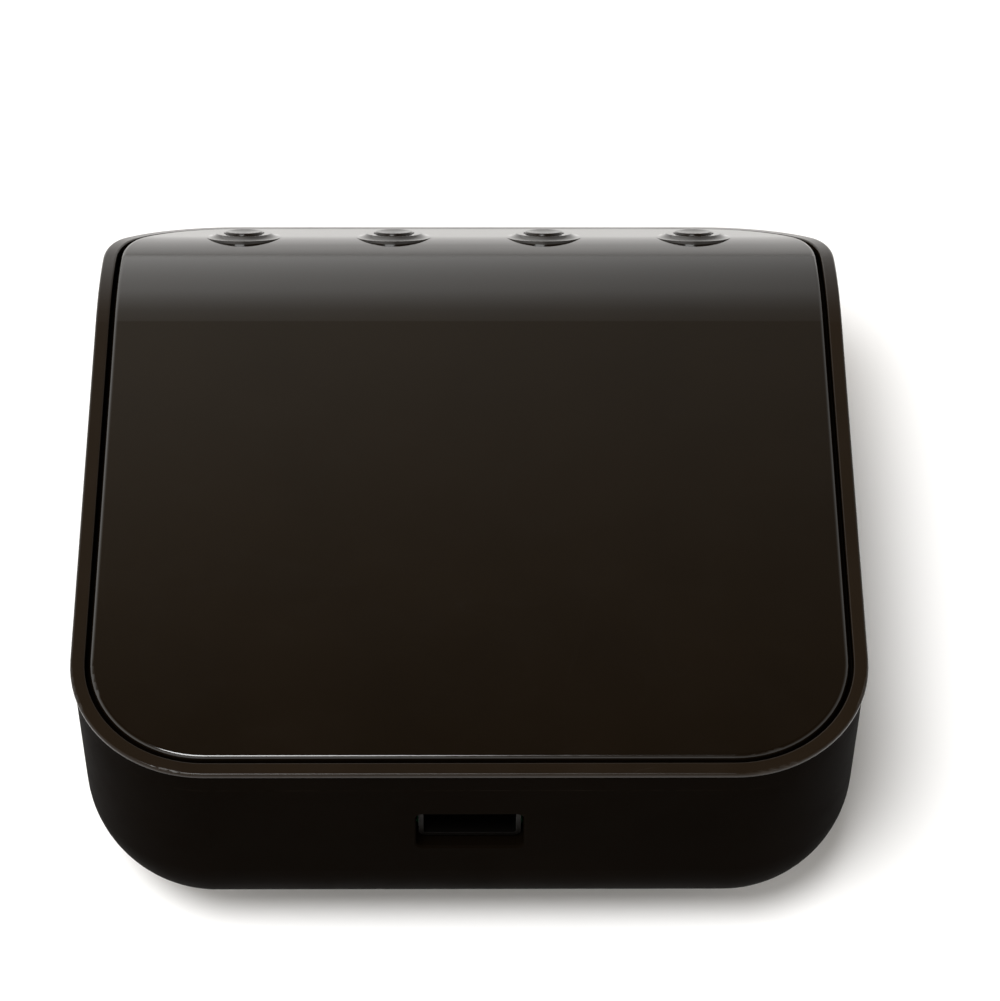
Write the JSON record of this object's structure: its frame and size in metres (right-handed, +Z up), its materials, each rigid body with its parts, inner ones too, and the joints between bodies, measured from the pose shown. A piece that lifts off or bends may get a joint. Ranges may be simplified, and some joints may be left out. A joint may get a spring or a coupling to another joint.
{
  "type": "bluetooth audio receiver",
  "caption": "Small rounded box that receives audio by radio, with a gloss lid rolled down at the back, push buttons, a power inlet and an audio socket.",
  "frame": {"origin": "middle of the footprint, on the surface that the feet stand on", "axes": "+Z up, +Y towards the back where the audio socket is, +X to the right seen from the front"},
  "size_m": [0.06, 0.062, 0.0243],
  "materials": {
    "case_black": "satin moulded plastic, warm near-black",
    "rim_black": "gloss moulded plastic, very dark brown",
    "lid_gloss": "high gloss, very dark brown",
    "button_black": "gloss, very dark brown",
    "tape_black": "black double-sided foam tape",
    "stem_black": "moulded",
    "switch_grey": "moulded, dark grey",
    "board_green": "solder mask",
    "board_blue": "solder mask",
    "screw_steel": "zinc plated",
    "screw_black": "black zinc plated",
    "ribbon_white": "polyester film",
    "socket_ivory": "moulded",
    "usb_steel": "blackened nickel",
    "insert_black": "moulded",
    "contact_gold": "gold plated",
    "bush_nickel": "nickel plated",
    "can_steel": "tin plated",
    "chip_black": "moulded epoxy",
    "coil_grey": "ferrite",
    "capacitor_aluminium": "drawn can",
    "ceramic_tan": "ceramic",
    "foot_rubber": "moulded rubber",
    "label_grey": "blank satin film",
    "ballast_steel": "zinc plated"
  },
  "bodies": {
    "root": {"base_shell": "case_black", "upper_shell": "rim_black", "lid_panel": "lid_gloss", "lid_tape": "tape_black", "switch_body_1": "switch_grey", "switch_body_2": "switch_grey", "switch_body_3": "switch_grey", "switch_body_4": "switch_grey", "button_board": "board_green", "button_board_screws": "screw_steel", "ribbon_cable": "ribbon_white", "upper_ribbon_socket": "socket_ivory", "lower_ribbon_socket": "socket_ivory", "main_board": "board_green", "usb_shell": "usb_steel", "usb_insert": "insert_black", "usb_contacts": "contact_gold", "jack_body": "insert_black", "jack_bush": "bush_nickel", "jack_contacts": "contact_gold", "radio_board": "board_blue", "radio_can": "can_steel", "radio_antenna": "contact_gold", "audio_chip": "chip_black", "memory_chip": "chip_black", "power_chip": "chip_black", "crystal": "can_steel", "power_coil": "coil_grey", "capacitor_1": "capacitor_aluminium", "capacitor_2": "capacitor_aluminium", "chip_parts": "ceramic_tan", "case_screws": "screw_black", "foot_1": "foot_rubber", "foot_2": "foot_rubber", "foot_3": "foot_rubber", "foot_4": "foot_rubber", "rating_label": "label_grey", "ballast_pad": "tape_black", "ballast_plate": "ballast_steel"},
    "button_1": {"button_cap_1": "button_black", "switch_stem_1": "stem_black"},
    "button_2": {"button_cap_2": "button_black", "switch_stem_2": "stem_black"},
    "button_3": {"button_cap_3": "button_black", "switch_stem_3": "stem_black"},
    "button_4": {"button_cap_4": "button_black", "switch_stem_4": "stem_black"}
  },
  "joints": [
    {"name": "button_1_press", "type": "slide", "parent": "root", "child": "button_1", "axis": [0, -0.665, -0.7468], "range_m": [0, 0.0003], "stiffness_N_per_m": 1500, "springref_m": -0.0004},
    {"name": "button_2_press", "type": "slide", "parent": "root", "child": "button_2", "axis": [0, -0.665, -0.7468], "range_m": [0, 0.0003], "stiffness_N_per_m": 1500, "springref_m": -0.0004},
    {"name": "button_3_press", "type": "slide", "parent": "root", "child": "button_3", "axis": [0, -0.665, -0.7468], "range_m": [0, 0.0003], "stiffness_N_per_m": 1500, "springref_m": -0.0004},
    {"name": "button_4_press", "type": "slide", "parent": "root", "child": "button_4", "axis": [0, -0.665, -0.7468], "range_m": [0, 0.0003], "stiffness_N_per_m": 1500, "springref_m": -0.0004}
  ]
}
